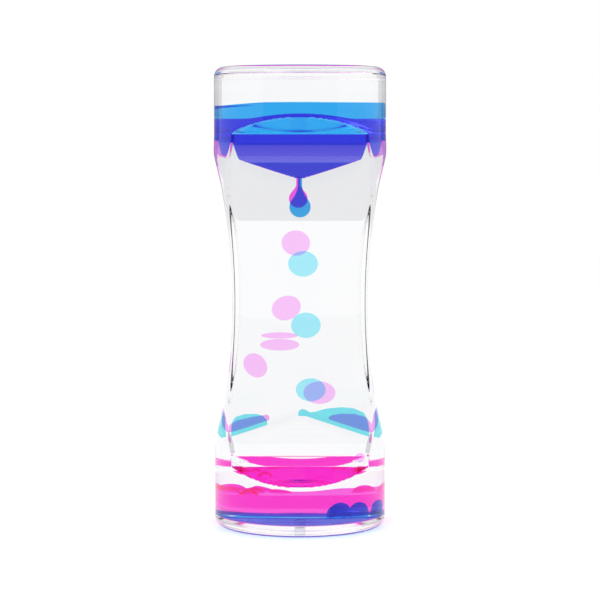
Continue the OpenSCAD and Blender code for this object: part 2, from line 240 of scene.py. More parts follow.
def lofted(name, rings, inward=False):
    """A closed mesh through rings of points, with a fan over the first and the last ring."""
    rings = np.asarray(rings)
    levels, around = rings.shape[:2]
    low, high = rings[0].mean(0), rings[-1].mean(0)
    verts = np.concatenate([rings.reshape(-1, 3), [low, high]])
    i = np.arange(levels - 1)[:, None] * around
    j = np.arange(around)[None, :]
    k = (j + 1) % around
    quads = np.stack([i + j, i + k, i + around + k, i + around + j], axis=-1).reshape(-1, 4)
    a = np.arange(around)
    b = (a + 1) % around
    top = (levels - 1) * around
    faces = quads.tolist() + [[levels * around, y, x] for x, y in zip(a, b)]
    faces += [[levels * around + 1, top + x, top + y] for x, y in zip(a, b)]
    if inward:
        faces = [f[::-1] for f in faces]
    mesh = bpy.data.meshes.new(name)
    mesh.from_pydata(verts.tolist(), [], faces)
    mesh.validate()
    return mesh


def joined(name, meshes, materials):
    """One object from several meshes, each with its own material slot number."""
    out = bmesh.new()
    for mesh, number in meshes:
        before = len(out.faces)
        out.from_mesh(mesh)
        out.faces.ensure_lookup_table()
        for f in out.faces[before:]:
            f.material_index = number
            f.smooth = True
    mesh = bpy.data.meshes.new(name)
    out.to_mesh(mesh)
    out.free()
    for m in materials:
        mesh.materials.append(m)
    obj = bpy.data.objects.new(name, mesh)
    bpy.context.scene.collection.objects.link(obj)
    return obj


def soften(obj, degrees=32):
    """Smooth shading, with edges steeper than this angle left crisp."""
    obj.data.shade_smooth()
    obj.data.set_sharp_from_angle(angle=math.radians(degrees))


def settle(obj, body, slot, *nodes):
    """Puts a finished piece on its body in place of its CAD nodes."""
    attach(obj, body)
    if nodes:
        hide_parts(*nodes)
    return obj


# Materials


def node_group(name, inputs, outputs):
    group = bpy.data.node_groups.new(name, "ShaderNodeTree")
    for label, kind, value in inputs:
        s = group.interface.new_socket(name=label, in_out="INPUT", socket_type=kind)
        s.default_value = value
    for label, kind in outputs:
        group.interface.new_socket(name=label, in_out="OUTPUT", socket_type=kind)
    return group, group.nodes.new("NodeGroupInput"), group.nodes.new("NodeGroupOutput")


def math_node(nodes, operation, second=None):
    """A Math node, with its second value set where nothing is linked to it."""
    node = nodes.new("ShaderNodeMath")
    node.operation = operation
    if second is not None:
        node.inputs[1].default_value = second
    return node


def moulded_group():
    """Roughness and normal of polished moulded plastic: faint flow waves and finer polish marks."""
    name = "moulded_surface"
    if name in bpy.data.node_groups:
        return bpy.data.node_groups[name]
    g, gin, gout = node_group(
        name,
        [("Roughness", "NodeSocketFloat", 0.01), ("Waves", "NodeSocketFloat", 0.02)],
        [("Roughness", "NodeSocketFloat"), ("Normal", "NodeSocketVector")],
    )
    n, link = g.nodes, g.links.new
    co = n.new("ShaderNodeTexCoord")
    wave = n.new("ShaderNodeTexNoise")
    wave.inputs["Scale"].default_value = 55.0
    wave.inputs["Detail"].default_value = 2.0
    marks = n.new("ShaderNodeTexNoise")
    marks.inputs["Scale"].default_value = 900.0
    spread = n.new("ShaderNodeMapRange")
    spread.inputs["From Min"].default_value = 0.35
    spread.inputs["From Max"].default_value = 0.75
    spread.inputs["To Max"].default_value = 0.02
    add = math_node(n, "ADD")
    bump = n.new("ShaderNodeBump")
    bump.inputs["Distance"].default_value = 0.0004
    link(co.outputs["Object"], wave.inputs["Vector"])
    link(co.outputs["Object"], marks.inputs["Vector"])
    link(marks.outputs["Fac"], spread.inputs["Value"])
    link(spread.outputs["Result"], add.inputs[0])
    link(gin.outputs["Roughness"], add.inputs[1])
    link(add.outputs[0], gout.inputs["Roughness"])
    link(wave.outputs["Fac"], bump.inputs["Height"])
    link(gin.outputs["Waves"], bump.inputs["Strength"])
    link(bump.outputs["Normal"], gout.inputs["Normal"])
    return g


def new_material(name, colour):
    """A material without nodes yet, with its nodes and the function that links them."""
    m = bpy.data.materials.new(name)
    m.use_nodes = True
    m.diffuse_color = (*colour, 1)
    m.node_tree.nodes.clear()
    return m, m.node_tree.nodes, m.node_tree.links.new


TRAPPED_DEPTH = 6.5  # a ray that has met more surfaces than this goes straight on


def clear_plastic(name, ior, colour=(0.986, 0.986, 0.988), waves=0.02):
    """Polished clear plastic that bends what is behind it and lets the lamps' light through."""
    m, n, link = new_material(name, colour)
    out = n.new("ShaderNodeOutputMaterial")
    surface = n.new("ShaderNodeGroup")
    surface.node_tree = moulded_group()
    surface.inputs["Roughness"].default_value = 0.0
    surface.inputs["Waves"].default_value = waves
    plastic = n.new("ShaderNodeBsdfPrincipled")
    plastic.inputs["Base Color"].default_value = (*colour, 1)
    plastic.inputs["IOR"].default_value = ior
    plastic.inputs["Transmission Weight"].default_value = 1.0
    path = n.new("ShaderNodeLightPath")
    through = n.new("ShaderNodeBsdfTransparent")
    mix = n.new("ShaderNodeMixShader")
    trapped = math_node(n, "GREATER_THAN", TRAPPED_DEPTH)
    straight = math_node(n, "MAXIMUM")
    link(surface.outputs["Roughness"], plastic.inputs["Roughness"])
    link(surface.outputs["Normal"], plastic.inputs["Normal"])
    link(path.outputs["Ray Depth"], trapped.inputs[0])
    link(trapped.outputs[0], straight.inputs[0])
    link(path.outputs["Is Shadow Ray"], straight.inputs[1])
    link(straight.outputs[0], mix.inputs[0])
    link(plastic.outputs[0], mix.inputs[1])
    link(through.outputs[0], mix.inputs[2])
    link(mix.outputs[0], out.inputs["Surface"])
    return m


def clear_insert(name, edge_shade=(0.97, 0.972, 0.98), body=(0.999, 0.999, 1.0)):
    """Clear plastic seen inside liquid: it hardly bends the view and shows by its edges, which are painted
    shade: its colour greys where the surface turns away from the view, standing in for the dark lines that
    bent light draws there.
    """
    m, n, link = new_material(name, body)
    out = n.new("ShaderNodeOutputMaterial")
    facing = n.new("ShaderNodeLayerWeight")
    facing.inputs["Blend"].default_value = 0.5
    ramp = n.new("ShaderNodeValToRGB")
    ramp.color_ramp.elements[0].position = 0.55
    ramp.color_ramp.elements[0].color = (*body, 1)
    # Painted shade: the grey that the grazing edges take.
    ramp.color_ramp.elements[1].position = 0.98
    ramp.color_ramp.elements[1].color = (*edge_shade, 1)
    through = n.new("ShaderNodeBsdfTransparent")
    link(facing.outputs["Facing"], ramp.inputs[0])
    link(ramp.outputs[0], through.inputs["Color"])
    link(through.outputs[0], out.inputs["Surface"])
    return m


MIX_A, MIX_B, MIX_RESULT = 6, 7, 2  # a Mix node's colour sockets
THIN_LOW, THIN_HIGH = 0.1, 0.12  # heights from the base between which THIN_STOPS lie
THIN_STOPS = ((0.0, 0.0), (0.325, 0.0), (0.335, 1.0), (0.56, 0.55), (0.58, 0.0))
THIN_COLOUR = (0.72, 0.74, 1, 1)
WHITE = (1, 1, 1, 1)


def liquid(name, tint, painted_rim_highlight=0.6, thin=0.0):
    """Coloured liquid: tint is what one body of it lets through, its grazing rim lighter, a painted highlight
    for the light that the liquid's surface reflects and bends there.

    thin pales it between the hopper's steep sides, where the layer is thinner.
    """
    m, n, link = new_material(name, tint)
    half = [math.sqrt(c) for c in tint]
    out = n.new("ShaderNodeOutputMaterial")
    co = n.new("ShaderNodeTexCoord")
    noise = n.new("ShaderNodeTexNoise")
    noise.inputs["Scale"].default_value = 160.0
    noise.inputs["Detail"].default_value = 3.0
    vary = n.new("ShaderNodeMapRange")
    vary.inputs["To Min"].default_value = 0.0
    vary.inputs["To Max"].default_value = 0.04
    body = n.new("ShaderNodeMix")
    body.data_type = "RGBA"
    body.inputs[MIX_A].default_value = (*half, 1)
    body.inputs[MIX_B].default_value = THIN_COLOUR if thin else WHITE
    facing = n.new("ShaderNodeLayerWeight")
    facing.inputs["Blend"].default_value = 0.5
    # Painted highlight: the grazing rim is turned towards white, in place of light reflected at the surface.
    rim = n.new("ShaderNodeMapRange")
    rim.interpolation_type = "SMOOTHSTEP"
    rim.inputs["From Min"].default_value = 0.68
    rim.inputs["From Max"].default_value = 0.94
    rim.inputs["To Max"].default_value = painted_rim_highlight
    lighter = n.new("ShaderNodeMix")
    lighter.data_type = "RGBA"
    lighter.inputs[MIX_B].default_value = WHITE
    through = n.new("ShaderNodeBsdfTransparent")
    link(co.outputs["Object"], noise.inputs["Vector"])
    link(noise.outputs["Fac"], vary.inputs["Value"])
    if thin:
        split = n.new("ShaderNodeSeparateXYZ")
        ramp = n.new("ShaderNodeValToRGB")
        place = n.new("ShaderNodeMapRange")
        place.inputs["From Min"].default_value = THIN_LOW
        place.inputs["From Max"].default_value = THIN_HIGH
        for i, (at, value) in enumerate(THIN_STOPS):
            e = ramp.color_ramp.elements[i] if i < 2 else ramp.color_ramp.elements.new(at)
            e.position = at
            e.color = (value * thin, value * thin, value * thin, 1)
        pale = math_node(n, "ADD")
        link(co.outputs["Object"], split.inputs[0])
        link(split.outputs["Z"], place.inputs["Value"])
        link(place.outputs["Result"], ramp.inputs[0])
        link(ramp.outputs[0], pale.inputs[0])
        link(vary.outputs["Result"], pale.inputs[1])
        link(pale.outputs[0], body.inputs[0])
    else:
        link(vary.outputs["Result"], body.inputs[0])
    link(facing.outputs["Facing"], rim.inputs["Value"])
    link(rim.outputs["Result"], lighter.inputs[0])
    link(body.outputs[MIX_RESULT], lighter.inputs[MIX_A])
    link(lighter.outputs[MIX_RESULT], through.inputs["Color"])
    link(through.outputs[0], out.inputs["Surface"])
    return m


def clear_water(name):
    """The clear liquid in both cells, which hardly tints the view."""
    m, n, link = new_material(name, (0.97, 0.98, 1.0))
    out = n.new("ShaderNodeOutputMaterial")
    through = n.new("ShaderNodeBsdfTransparent")
    through.inputs["Color"].default_value = (0.998, 0.999, 1, 1)
    link(through.outputs[0], out.inputs["Surface"])
    return m


FACET_IOR = 1.2
INSIDE_IOR = 1.03  # of the plastic against the liquid


def material(kind):
    """Each material is made once and shared by the pieces that need it."""
    s = bpy.context.scene.timer_liquid
    makers = {
        "block_outside": lambda k: clear_plastic(k, bpy.context.scene.timer_block.ior),
        "block_facet": lambda k: clear_plastic(k, FACET_IOR),
        "block_inside": lambda k: clear_plastic(k, INSIDE_IOR, waves=0.0),
        "insert": clear_insert,
        # The plug's grazing edges are painted shade of the first grey; the second is its own faint tone.
        "plug": lambda k: clear_insert(k, (0.55, 0.55, 0.65), (0.975, 0.975, 0.985)),
        # The second number for each liquid is how far its grazing rim is painted towards white, a painted
        # highlight.
        "cyan_upper": lambda k: liquid(k, s.cyan, 0.85, thin=0.6),
        "pink_upper": lambda k: liquid(k, s.upper_pink, 0.85, thin=0.6),
        "cyan_pool": lambda k: liquid(k, s.cyan, 0.85),
        "pink_pool": lambda k: liquid(k, s.pink, 0.85),
        "cyan_puddle": lambda k: liquid(k, s.puddle_cyan, 0.3),
        "pink_puddle": lambda k: liquid(k, s.puddle_pink, 0.3),
        "cyan_drop": lambda k: liquid(k, s.pale_cyan, 0.15),
        "pink_drop": lambda k: liquid(k, s.pale_pink, 0.15),
        "clear_water": clear_water,
    }
    return bpy.data.materials.get(kind) or makers[kind](kind)


# Pieces


def ring_heights(p, end_inset, edge):
    """Heights of the block's rings: close together round the end edges and the facets."""
    mid = p.height / 2
    first, last = FACET_RINGS
    below = np.concatenate([
        end_inset + edge * (1 - np.cos(np.linspace(0, math.pi / 2, 9))),
        np.linspace(end_inset + edge, first, 9)[1:],
        np.linspace(first, last, 48)[1:],
        np.linspace(last, mid, 30)[1:],
    ])
    return np.concatenate([below, (p.height - below)[::-1][1:]])


def ring_angles(count):
    """Directions round the block, crowded together near its four corners."""
    fine = np.linspace(0, 2 * math.pi, 7201)
    corner, spread, crowding = math.radians(37), math.radians(4), 5
    away = np.abs(np.abs(np.arctan(np.tan(fine + 1e-9))) - corner)
    weight = np.cumsum(1 + crowding * np.exp(-((away / spread) ** 2)))
    weight = (weight - weight[0]) / (weight[-1] - weight[0])
    return np.interp(np.linspace(0, 1, count, endpoint=False), weight, fine)


def block_rings(p, inset, end_inset, edge, around, sharp):
    """Rings of the block, with crisp facets near its ends and rounder corners at the waist."""
    theta = ring_angles(around)
    zs = ring_heights(p, end_inset, edge)
    radius, half_w, half_d = outline_limits(p, zs, inset, end_inset, edge)
    rings = np.empty((len(zs), len(theta), 3))
    from_end = p.height / 2 - np.abs(zs - p.height / 2)
    crisp = np.clip((SOFT_FROM - from_end) / (SOFT_FROM - CRISP_TO), 0, 1)
    corner = SOFT_CORNER * (sharp / SOFT_CORNER) ** crisp
    for i, z in enumerate(zs):
        r = ring_radii(theta, (0, 0), (radius[i], half_w[i], half_d[i]), sharp=corner[i])
        rings[i] = np.stack([r * np.cos(theta), r * np.sin(theta), np.full_like(r, z)], axis=1)
    return rings


FACET_TILT = (0.3, 0.97)  # how far a facet's normal leans up or down
FACET_SIDEWAYS = 0.15
BELOW_TIP, ABOVE_FOOT = 0.0019, 0.0003  # margins past the facet's tip and foot


def is_lower_facet(face, p):
    """True for a face of the outer surface on one of the two sloping facets above the base."""
    leans = FACET_TILT[0] < abs(face.normal.z) < FACET_TILT[1] and abs(face.normal.x) < FACET_SIDEWAYS
    near = p.band - BELOW_TIP < face.center.z < p.foot + ABOVE_FOOT
    return face.material_index == 0 and leans and near


class BuildBlock(bpy.types.Operator):
    """Build the clear block: its outer surface and the wall of its hollow"""

    bl_idname = "timer.build_block"
    bl_label = "Block"

    def execute(self, context):
        p = context.scene.timer_block
        outside = lofted("outside", block_rings(p, 0, 0, p.edge, p.around, 320))
        inner_rings = block_rings(p, p.wall, p.end_wall, HOLLOW_EDGE, 160, 60)
        inside = lofted("inside", inner_rings, inward=True)
        plastics = [material(k) for k in ("block_outside", "block_inside", "block_facet")]
        obj = joined("block", [(outside, 0), (inside, 1)], plastics)
        for face in obj.data.polygons:
            if is_lower_facet(face, p):
                face.material_index = 2
        soften(obj)
        settle(obj, ROOT, "clear_shell", "front_shell", "back_shell")
        return {"FINISHED"}


class BuildFittings(bpy.types.Operator):
    """Give the divider, funnels and plugs their finish"""

    bl_idname = "timer.build_fittings"
    bl_label = "Fittings"

    def execute(self, context):
        finishes = {"_funnel": "insert", "_sheet": "insert", "_plug": "plug", "_clear_liquid": "clear_water"}
        for name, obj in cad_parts.items():
            for ending, kind in finishes.items():
                if name.endswith(ending):
                    obj.data.materials.clear()
                    obj.data.materials.append(material(kind))
        return {"FINISHED"}


def hopper(z, gap):
    """Half width of the liquid in the upper hopper at height z above the block's middle."""
    wall = HOPPER_WALL + gap
    vee = VEE_FOOT - VEE_FLAT * VEE_SLOPE + wall * math.hypot(1, VEE_SLOPE)
    side = HOPPER_HALF_W - HOPPER_FOOT * STEEP_SLOPE - wall * math.hypot(1, STEEP_SLOPE)
    return np.minimum((z - vee) / VEE_SLOPE, side + STEEP_SLOPE * z)


def cell_depth():
    """How far the middle of a cell lies in front of or behind the block's middle."""
    lo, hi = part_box("front_fill_plug")
    return abs((lo.y + hi.y) / 2)


def pool_rings(context, side, zs, insets, shift, hopper_at=None, count=160):
    """Rings of a pool in one cell; insets pulls each ring in for the meniscus."""
    p = context.scene.timer_block
    theta = np.linspace(0, 2 * math.pi, count, endpoint=False)
    radius, half_w, half_d = outline_limits(p, zs, p.wall + FILM, p.end_wall + FILM, HOLLOW_EDGE)
    port = ((p.end_d / 2 - p.wall - PORT_W) * math.sqrt(2) - RISER_ACROSS) / math.sqrt(2)
    diagonal = math.sqrt(0.5)
    rings = []
    centre = (0.0, side * shift)
    for i, z in enumerate(zs):
        planes = [(0, -side, -DIVIDER_SIDE)]
        if hopper_at is not None:
            planes += [(diagonal, side * diagonal, port), (-diagonal, side * diagonal, port)]
            half = max(float(hopper_at[i]), FILM)
            planes += [(1, 0, half), (-1, 0, half)]
        r = ring_radii(theta, centre, (radius[i], half_w[i], half_d[i]), planes, sharp=60) - insets[i]
        x, y = centre[0] + r * np.cos(theta), centre[1] + r * np.sin(theta)
        rings.append(np.stack([x, y, np.full_like(r, z)], axis=1))
    return rings


def rounded_top(level, depth, count=8):
    """Heights and insets of the last rings below a level, rounding over by depth."""
    t = np.linspace(0, 1, count)
    return level - depth + depth * np.sin(t * math.pi / 2), depth * 1.6 * (1 - np.cos(t * math.pi / 2))


def hanging_drop_rings(centre, tip, radius, middle, neck=0.0006, above=0.0022):
    """A drop that hangs by a thin neck out of the nozzle, with a hollow curve below the neck."""
    start = math.radians(38)
    turns = np.linspace(-math.pi / 2 + 0.02, start, 26)
    low = [(radius * math.cos(t), middle + radius * math.sin(t)) for t in turns]
    r1, z1 = low[-1]
    rise = tip - z1
    t = np.linspace(0, 1, 22)[1:]
    slope = -math.tan(start) * rise
    r = r1 + slope * t + (3 * (neck - r1) - 2 * slope) * t**2 + (slope - 2 * (neck - r1)) * t**3
    curve = low + [(max(a, neck), z1 + rise * b) for a, b in zip(r, t)] + [(neck, tip + above)]
    theta = np.linspace(0, 2 * math.pi, 64, endpoint=False)
    rings = []
    for r, z in curve:
        x, y = centre[0] + r * np.cos(theta), centre[1] + r * np.sin(theta)
        rings.append(np.stack([x, y, np.full_like(theta, z)], axis=1))
    return rings


# Each upper pool: the drop's sideways lean, its radius and its middle's height above the block's middle.
HANGING_DROPS = {"cyan": (0.0, 0.0031, 0.0268), "pink": (-0.0005, 0.00275, 0.0291)}
UPPER_FOOT = 0.0351  # lowest ring of an upper pool, above the block's middle
HOPPER_RINGS = 24  # as many again lie between the flange and the level
LEVEL_SAG = 0.0012  # how far the cyan level sinks at the left
SAG_FROM, SAG_OVER = -0.009, 0.013  # along X
SAG_FOOT, SAG_RISE = 0.047, 0.008  # above the block's middle


def sagged(ring, mid):
    """Lowers a ring of the cyan pool towards the left, the more the higher it lies."""
    left = np.clip((SAG_FROM - ring[:, 0]) / SAG_OVER, 0, 1)
    high = np.clip((ring[:, 2] - mid - SAG_FOOT) / SAG_RISE, 0, 1)
    ring[:, 2] -= LEVEL_SAG * left * high


class BuildUpperPools(bpy.types.Operator):
    """Build the coloured liquid above each upper funnel, with the drop that hangs from its nozzle"""

    bl_idname = "timer.build_upper_pools"
    bl_label = "Upper pools"

    def execute(self, context):
        p, s = context.scene.timer_block, context.scene.timer_liquid
        mid = p.height / 2
        shift = cell_depth()
        for name, side, level in (("cyan", FRONT, s.cyan_upper), ("pink", BACK, s.pink_upper)):
            lean, radius, middle = HANGING_DROPS[name]
            top = mid + HOPPER_TOP - 2 * FILM + level
            heights, insets = rounded_top(top, s.meniscus)
            zs = np.concatenate([
                np.linspace(mid + UPPER_FOOT, mid + HOPPER_TOP - FILM, HOPPER_RINGS),
                np.linspace(mid + HOPPER_TOP + FILM, heights[0], HOPPER_RINGS),
                heights[1:],
            ])
            insets = np.concatenate([np.zeros(2 * HOPPER_RINGS), insets[1:]])
            half = np.where(zs < mid + HOPPER_TOP, hopper(zs - mid, FILM), 1.0)
            rings = pool_rings(context, side, zs, insets, shift, half)
            if side == FRONT:
                for ring in rings[2 * HOPPER_RINGS :]:
                    sagged(ring, mid)
            drop = hanging_drop_rings((lean, side * shift), mid + NOZZLE_TIP, radius, mid + middle)
            body = lofted("pool", rings)
            hang = lofted("drop", drop)
            obj = joined(f"{name}_upper", [(body, 0), (hang, 0)], [material(f"{name}_upper")])
            soften(obj, 40)
            settle(obj, ROOT, f"{name}_liquid", f"{name}_upper_pool")
        return {"FINISHED"}


# Drops that have just sunk into each pool: x, distance from the middle plane and radius, in mm.
DOMES = {
    "cyan": [(8.9, 11, 2.4), (9.2, 5.6, 2.5), (14.2, 7, 2.6), (19.4, 3.6, 2.5)],
    "pink": [
        (-20.0, 4.4, 2.4), (-18.2, 9.5, 2.0), (-16.2, 5.2, 1.9), (-14.6, 10.8, 1.9),
        (-12.9, 6.0, 1.7), (-10.6, 12.6, 1.8), (-8.2, 8.2, 1.7), (-6.2, 13.2, 1.9),
        (-3.4, 9.6, 2.0), (-10.2, 2.8, 1.6), (11.5, 8, 2.0), (18.0, 5, 2.6),
    ],
}
LEVEL_RINGS = 130  # across a pool's level, close enough for round domes
THIN_FROM, THIN_OVER = -0.0165, 0.008  # along Y
THIN_SHARE = 0.85


def thinned(ring, floor):
    """Sinks a ring of the cyan pool towards the divider, where the layer is thinner."""
    back = np.clip((ring[:, 1] - THIN_FROM) / THIN_OVER, 0, 1)
    ring[:, 2] -= (ring[:, 2] - floor) * THIN_SHARE * back * back * (3 - 2 * back)


def level_rings(last, centre, top):
    """Rings across a pool's level, from its rim to its middle."""
    rings = []
    for t in np.linspace(1, 0.01, LEVEL_RINGS)[1:]:
        ring = centre + (last - centre) * t
        ring[:, 2] = top
        rings.append(ring)
    return rings


def raise_domes(ring, domes, side, top):
    """Lifts a ring of a pool's level over the drops that have sunk in."""
    for x, y, r in domes:
        gap = np.hypot(ring[:, 0] - x / 1000, ring[:, 1] - side * y / 1000)
        rise = np.sqrt(np.maximum((r / 1000) ** 2 - gap**2, 0))
        ring[:, 2] = np.maximum(ring[:, 2], np.where(gap < r / 1000, top + rise, 0))


class BuildLowerPools(bpy.types.Operator):
    """Build the coloured pool on each floor, with the domes of drops that have just sunk in"""

    bl_idname = "timer.build_lower_pools"
    bl_label = "Lower pools"

    def execute(self, context):
        p, s = context.scene.timer_block, context.scene.timer_liquid
        shift = cell_depth()
        for name, side, depth in (("cyan", FRONT, s.cyan_lower), ("pink", BACK, s.pink_lower)):
            floor = p.end_wall + FILM
            top = p.end_wall + depth
            heights, insets = rounded_top(top, s.meniscus)
            low = floor + HOLLOW_EDGE * (1 - np.cos(np.linspace(0, math.pi / 2, 6)))
            middle = np.linspace(low[-1], heights[0], 6)[1:-1] if heights[0] > low[-1] + 2 * FILM else []
            zs = np.maximum.accumulate(np.concatenate([low, middle, heights]))
            insets = np.concatenate([np.zeros(len(low) + len(middle)), insets])
            rings = pool_rings(context, side, zs, insets, shift, count=320)
            rings += level_rings(rings[-1], np.array([0, side * shift, 0]), top)
            if side == FRONT:
                for ring in rings[len(low) :]:
                    thinned(ring, floor)
            for ring in rings[len(zs) - 1 :]:
                raise_domes(ring, DOMES[name], side, top)
            obj = joined(f"{name}_lower", [(lofted("pool", rings), 0)], [material(f"{name}_pool")])
            soften(obj, 40)
            settle(obj, ROOT, f"{name}_liquid", f"{name}_lower_pool")
        return {"FINISHED"}


def drop_tree():
    """Geometry nodes for one drop: a ball, uneven by a noise, sized and put in its place."""
    name = "falling_drop"
    if name in bpy.data.node_groups:
        return bpy.data.node_groups[name]
    g = bpy.data.node_groups.new(name, "GeometryNodeTree")
    for label in ("Size", "Place", "Tilt"):
        g.interface.new_socket(name=label, in_out="INPUT", socket_type="NodeSocketVector")
    for label in ("Wobble", "Seed"):
        g.interface.new_socket(name=label, in_out="INPUT", socket_type="NodeSocketFloat")
    g.interface.new_socket(name="Material", in_out="INPUT", socket_type="NodeSocketMaterial")
    g.interface.new_socket(name="Geometry", in_out="OUTPUT", socket_type="NodeSocketGeometry")
    n, link = g.nodes, g.links.new
    gin, gout = n.new("NodeGroupInput"), n.new("NodeGroupOutput")
    ball = n.new("GeometryNodeMeshIcoSphere")
    ball.inputs["Radius"].default_value = 0.5
    ball.inputs["Subdivisions"].default_value = 6
    noise = n.new("ShaderNodeTexNoise")
    noise.noise_dimensions = "4D"
    noise.inputs["Scale"].default_value = 1.3
    noise.inputs["Detail"].default_value = 0.0
    where = n.new("GeometryNodeInputPosition")
    lower = math_node(n, "SUBTRACT", 0.9)
    times = math_node(n, "MULTIPLY")
    push = n.new("ShaderNodeVectorMath")
    push.operation = "SCALE"
    uneven = n.new("GeometryNodeSetPosition")
    turn = n.new("GeometryNodeTransform")
    place = n.new("GeometryNodeTransform")
    smooth = n.new("GeometryNodeSetShadeSmooth")
    paint = n.new("GeometryNodeSetMaterial")
    realize = n.new("GeometryNodeRealizeInstances")
    link(where.outputs[0], noise.inputs["Vector"])
    link(gin.outputs["Seed"], noise.inputs["W"])
    link(noise.outputs["Fac"], lower.inputs[0])
    link(lower.outputs[0], times.inputs[0])
    link(gin.outputs["Wobble"], times.inputs[1])
    link(where.outputs[0], push.inputs[0])
    link(times.outputs[0], push.inputs["Scale"])
    link(ball.outputs["Mesh"], uneven.inputs["Geometry"])
    link(push.outputs[0], uneven.inputs["Offset"])
    link(uneven.outputs[0], turn.inputs["Geometry"])
    link(gin.outputs["Size"], turn.inputs["Scale"])
    link(turn.outputs[0], place.inputs["Geometry"])
    link(gin.outputs["Tilt"], place.inputs["Rotation"])
    link(gin.outputs["Place"], place.inputs["Translation"])
    link(place.outputs[0], smooth.inputs["Geometry"])
    link(smooth.outputs[0], paint.inputs["Geometry"])
    link(gin.outputs["Material"], paint.inputs["Material"])
    link(paint.outputs[0], realize.inputs["Geometry"])
    link(realize.outputs[0], gout.inputs["Geometry"])
    return g


def applied(name, tree, values):
    """The mesh that a geometry nodes tree gives for these inputs."""
    holder = bpy.data.objects.new(name + "_nodes", bpy.data.meshes.new(name))
    bpy.context.scene.collection.objects.link(holder)
    mod = holder.modifiers.new("nodes", "NODES")
    mod.node_group = tree
    ids = {s.name: s.identifier for s in tree.interface.items_tree if s.in_out == "INPUT"}
    for label, value in values.items():
        mod[ids[label]] = value
    bpy.context.view_layer.update()
    mesh = bpy.data.meshes.new_from_object(holder.evaluated_get(bpy.context.evaluated_depsgraph_get()))
    bpy.data.objects.remove(holder)
    return mesh


# Each falling drop as blobs: size and offset as shares of its CAD node's box, and tilt in degrees.
WHOLE = [((1.0, 1.0, 1.0), (0.0, 0.0, 0.0), 0)]
DROP_SHRINK = 0.995  # keeps an uneven drop inside its node's box
DROP_FORMS = {
    "cyan_drop_lower": [((1.0, 1.0, 0.9), (0.0, 0.0, 0.0), 0)],
    "pink_drop_upper": [((0.98, 1.0, 1.0), (0.0, 0.0, 0.0), 6)],
    "pink_drop_middle": [((1.01, 1.0, 0.95), (0.0, 0.0, 0.0), -20)],
    "pink_drop_split": [
        ((1.0, 1.0, 0.72), (0.0, 0.0, -0.15), 0),
        ((0.93, 0.9, 0.4), (-0.01, 0.0, 0.42), 0),
    ],
    "pink_drop_left": [((1.11, 0.98, 0.92), (0.0, 0.0, 0.0), 50)],
}


class BuildFallingDrops(bpy.types.Operator):
    """Build the falling drops, each where its CAD node is"""

    bl_idname = "timer.build_falling_drops"
    bl_label = "Falling drops"

    def execute(self, context):
        s = context.scene.timer_liquid
        drops = sorted(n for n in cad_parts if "_drop_" in n)
        for i, node in enumerate(drops):
            lo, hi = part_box(node)
            size, place = hi - lo, (hi + lo) / 2
            colour = node.split("_")[0]
            blobs = []
            for share, offset, tilt in DROP_FORMS.get(node, WHOLE):
                values = {
                    "Size": [a * b * DROP_SHRINK for a, b in zip(size, share)],
                    "Place": [a + b * c for a, b, c in zip(place, size, offset)],
                    "Tilt": [0.0, math.radians(tilt), 0.0],
                    "Wobble": s.wobble,
                    "Seed": 3.0 + i * 1.7,
                    "Material": material(f"{colour}_drop"),
                }
                blobs.append((applied(node, drop_tree(), values), 0))
            obj = joined(node.replace("_drop_", "_falling_"), blobs, [material(f"{colour}_drop")])
            settle(obj, node + "_body", f"{colour}_liquid", node)
        return {"FINISHED"}


# Each roof puddle from its left to its right: x, height of its top above the base and half width, in mm.
PUDDLE_TOPS = {
    "cyan_roof_puddle_left": [
        (-19.9, 28.6, 2.2), (-19.7, 31.0, 3.4), (-18.6, 32.7, 4.2), (-16, 33.6, 4.8),
        (-12.5, 33.6, 4.4), (-10.6, 33.0, 3.2), (-9.5, 31.7, 1.6),
    ],
    "cyan_roof_puddle_right": [
        (-0.5, 34.0, 0.8), (-0.2, 34.8, 1.3), (0.7, 35.1, 1.5), (1.7, 34.9, 1.2),
        (2.8, 34.1, 0.8), (4.4, 34.3, 1.0), (7.5, 35.2, 2.4), (12, 35.6, 4.2),
        (15.5, 35.3, 4.8), (18.4, 34.0, 4.4), (19.6, 31.6, 3.2), (20.0, 29.0, 2.0),
    ],
    "pink_roof_puddle_left": [
        (-20.9, 26.6, 1.4), (-20.5, 28.8, 3.0), (-18.4, 30.3, 4.4), (-14, 31.4, 4.8),
        (-11, 31.9, 3.4), (-9.6, 32.2, 1.6), (-9.0, 31.7, 0.9),
    ],
    "pink_roof_puddle_right": [
        (8.4, 31.4, 1.0), (9.4, 32.0, 2.4), (12, 32.4, 4.4), (16, 32.3, 4.8),
        (18.8, 31.4, 4.2), (20.4, 29.4, 3.0), (20.9, 27.0, 1.4),
    ],
}
ROOF_FILM = 0.00014
THINNEST = 0.0002


def puddle_rings(points, y, mid):
    """Cross rings of a puddle along the roof: flat below on the roof, rounded above."""
    x0, top0, half0 = (np.array(v) / 1000 for v in zip(*points))
    xs = np.linspace(x0[0], x0[-1], 96)
    top = np.interp(xs, x0, top0)
    half = np.interp(xs, x0, half0)
    for _ in range(2):
        top[1:-1] = (top[:-2] + 2 * top[1:-1] + top[2:]) / 4
        half[1:-1] = (half[:-2] + 2 * half[1:-1] + half[2:]) / 4
    theta = np.linspace(0, 2 * math.pi, 48, endpoint=False)
    rings = []
    for x, t, w in zip(xs, top, half):
        roof = mid - VEE_FOOT - max(abs(x) - VEE_FLAT, 0) * VEE_SLOPE + ROOF_FILM
        top_z = max(t, roof + THINNEST)
        middle, tall = (top_z + roof) / 2, (top_z - roof) / 2
        c, s = np.cos(theta), np.sin(theta)
        side = np.sign(c) * np.abs(c) ** 0.8
        up = np.sign(s) * np.abs(s) ** 0.8
        rings.append(np.stack([np.full_like(c, x), y + w * side, middle + tall * up], axis=1))
    return rings


